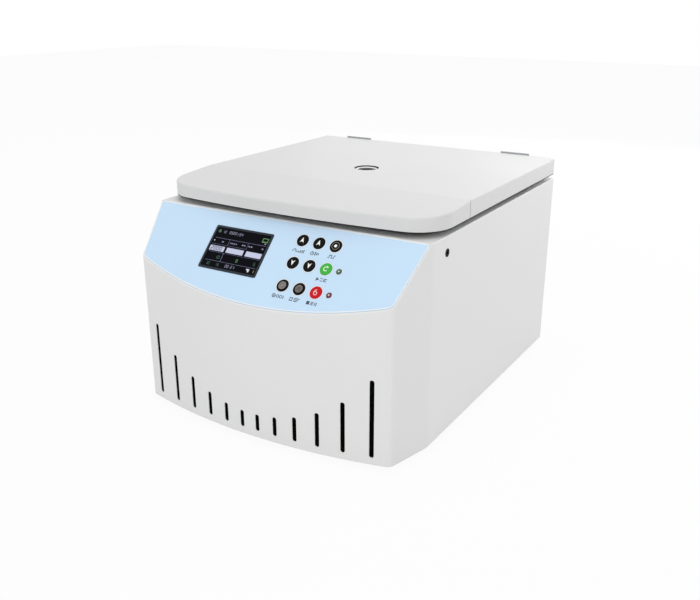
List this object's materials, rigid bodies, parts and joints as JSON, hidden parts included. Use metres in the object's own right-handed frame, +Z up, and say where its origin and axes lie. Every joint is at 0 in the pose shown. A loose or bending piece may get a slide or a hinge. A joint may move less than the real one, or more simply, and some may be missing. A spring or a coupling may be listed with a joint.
{
  "type": "cytocentrifuge",
  "caption": "Bench-top cytocentrifuge: hinged lid with viewing port, slanted key panel, and a chamber whose rotor swings carriers that spin cells onto microscope slides.",
  "frame": {"origin": "on the table under the middle of the overall box, lid closed", "axes": "+X to the user's right, +Y to the rear (hinge side), +Z up"},
  "size_m": [0.401, 0.503, 0.296],
  "materials": {
    "body_white": "satin",
    "lid_white": "satin",
    "overlay_blue": "satin",
    "bezel_grey": "matte",
    "screen_glass": "gloss",
    "key_black": "satin",
    "key_green": "satin",
    "key_red": "satin",
    "lamp_green": "gloss",
    "lamp_red": "gloss",
    "board_green": "satin",
    "stainless": "brushed",
    "plain_steel": "matte",
    "gasket_rubber": "matte",
    "bright_steel": "satin",
    "motor_grey": "cast",
    "machined_aluminium": "machined",
    "black_plastic": "matte",
    "port_white": "satin",
    "port_smoked": "gloss",
    "carrier_mix": "satin"
  },
  "bodies": {
    "base": {"casing": "body_white", "panel_overlay": "overlay_blue", "display_bezel": "bezel_grey", "display_glass": "screen_glass", "run_lamp": "lamp_green", "stop_lamp": "lamp_red", "control_board": "board_green", "top_deck": "body_white", "chamber_bowl": "stainless", "chamber_gasket": "gasket_rubber", "guard_ring": "plain_steel", "base_plate": "plain_steel", "feet": "gasket_rubber", "drive_board": "board_green", "rear_panel": "body_white", "case_screws": "bright_steel", "fan_frame": "black_plastic", "power_inlet": "black_plastic", "hinge_base_leaves": "stainless", "hinge_pins": "bright_steel", "lock_housing": "plain_steel", "release_plug": "gasket_rubber", "damper_mounts": "gasket_rubber", "motor_plate": "plain_steel", "motor_housing": "motor_grey", "motor_bearings": "bright_steel", "shaft_boot": "gasket_rubber"},
    "lid": {"lid_shell": "lid_white", "lid_liner": "stainless", "port_ring": "port_white", "port_window": "port_smoked", "lid_striker": "bright_steel", "hinge_lid_leaves": "stainless"},
    "rotor": {"motor_shaft": "bright_steel", "rotor_dish": "machined_aluminium", "carrier_plate": "machined_aluminium", "rotor_nut": "black_plastic"},
    "fan": {"fan_impeller": "black_plastic"},
    "rocker": {"rocker_switch": "black_plastic"},
    "bolt": {"lock_bolt": "bright_steel"},
    "carrier_1": {"carrier_1": "carrier_mix"},
    "carrier_2": {"carrier_2": "carrier_mix"},
    "carrier_3": {"carrier_3": "carrier_mix"},
    "carrier_4": {"carrier_4": "carrier_mix"},
    "carrier_5": {"carrier_5": "carrier_mix"},
    "carrier_6": {"carrier_6": "carrier_mix"},
    "carrier_7": {"carrier_7": "carrier_mix"},
    "carrier_8": {"carrier_8": "carrier_mix"},
    "key_speed_up": {"key_speed_up": "key_black"},
    "key_time_up": {"key_time_up": "key_black"},
    "key_jog": {"key_jog": "key_black"},
    "key_speed_down": {"key_speed_down": "key_black"},
    "key_time_down": {"key_time_down": "key_black"},
    "key_start": {"key_start": "key_green"},
    "key_rotor": {"key_rotor": "key_black"},
    "key_program": {"key_program": "key_black"},
    "key_stop": {"key_stop": "key_red"}
  },
  "joints": [
    {"name": "lid_hinge", "type": "hinge", "parent": "base", "child": "lid", "pos_m": [0, 0.247, 0.26775], "axis": [-1, 0, 0], "range_deg": [0, 75]},
    {"name": "rotor_spin", "type": "hinge", "parent": "base", "child": "rotor", "pos_m": [0, 0.0295, 0.1405], "axis": [0, 0, 1], "continuous": true},
    {"name": "carrier_1_swing", "type": "hinge", "parent": "rotor", "child": "carrier_1", "pos_m": [0.11, 0.0295, 0.23], "axis": [0, -1, 0], "range_deg": [0, 10]},
    {"name": "carrier_2_swing", "type": "hinge", "parent": "rotor", "child": "carrier_2", "pos_m": [0.07778, 0.10728, 0.23], "axis": [0.7071, -0.7071, 0], "range_deg": [0, 10]},
    {"name": "carrier_3_swing", "type": "hinge", "parent": "rotor", "child": "carrier_3", "pos_m": [0, 0.1395, 0.23], "axis": [1, 0, 0], "range_deg": [0, 10]},
    {"name": "carrier_4_swing", "type": "hinge", "parent": "rotor", "child": "carrier_4", "pos_m": [-0.07778, 0.10728, 0.23], "axis": [0.7071, 0.7071, 0], "range_deg": [0, 10]},
    {"name": "carrier_5_swing", "type": "hinge", "parent": "rotor", "child": "carrier_5", "pos_m": [-0.11, 0.0295, 0.23], "axis": [0, 1, 0], "range_deg": [0, 10]},
    {"name": "carrier_6_swing", "type": "hinge", "parent": "rotor", "child": "carrier_6", "pos_m": [-0.07778, -0.04828, 0.23], "axis": [-0.7071, 0.7071, 0], "range_deg": [0, 10]},
    {"name": "carrier_7_swing", "type": "hinge", "parent": "rotor", "child": "carrier_7", "pos_m": [0, -0.0805, 0.23], "axis": [-1, 0, 0], "range_deg": [0, 10]},
    {"name": "carrier_8_swing", "type": "hinge", "parent": "rotor", "child": "carrier_8", "pos_m": [0.07778, -0.04828, 0.23], "axis": [-0.7071, -0.7071, 0], "range_deg": [0, 10]},
    {"name": "key_speed_up_press", "type": "slide", "parent": "base", "child": "key_speed_up", "axis": [0, 0.7129, -0.7012], "range_m": [0, 0.0012], "stiffness_N_per_m": 400},
    {"name": "key_time_up_press", "type": "slide", "parent": "base", "child": "key_time_up", "axis": [0, 0.7129, -0.7012], "range_m": [0, 0.0012], "stiffness_N_per_m": 400},
    {"name": "key_jog_press", "type": "slide", "parent": "base", "child": "key_jog", "axis": [0, 0.7129, -0.7012], "range_m": [0, 0.0012], "stiffness_N_per_m": 400},
    {"name": "key_speed_down_press", "type": "slide", "parent": "base", "child": "key_speed_down", "axis": [0, 0.7129, -0.7012], "range_m": [0, 0.0012], "stiffness_N_per_m": 400},
    {"name": "key_time_down_press", "type": "slide", "parent": "base", "child": "key_time_down", "axis": [0, 0.7129, -0.7012], "range_m": [0, 0.0012], "stiffness_N_per_m": 400},
    {"name": "key_start_press", "type": "slide", "parent": "base", "child": "key_start", "axis": [0, 0.7129, -0.7012], "range_m": [0, 0.0012], "stiffness_N_per_m": 400},
    {"name": "key_rotor_press", "type": "slide", "parent": "base", "child": "key_rotor", "axis": [0, 0.7129, -0.7012], "range_m": [0, 0.0012], "stiffness_N_per_m": 400},
    {"name": "key_program_press", "type": "slide", "parent": "base", "child": "key_program", "axis": [0, 0.7129, -0.7012], "range_m": [0, 0.0012], "stiffness_N_per_m": 400},
    {"name": "key_stop_press", "type": "slide", "parent": "base", "child": "key_stop", "axis": [0, 0.7129, -0.7012], "range_m": [0, 0.0012], "stiffness_N_per_m": 400},
    {"name": "fan_spin", "type": "hinge", "parent": "base", "child": "fan", "pos_m": [0.118, 0.2405, 0.158], "axis": [0, 1, 0], "continuous": true},
    {"name": "rocker_tip", "type": "hinge", "parent": "base", "child": "rocker", "pos_m": [-0.128, 0.2415, 0.088], "axis": [1, 0, 0], "range_deg": [0, 14]},
    {"name": "bolt_slide", "type": "slide", "parent": "base", "child": "bolt", "axis": [1, 0, 0], "range_m": [-0.01, 0], "stiffness_N_per_m": 150}
  ]
}
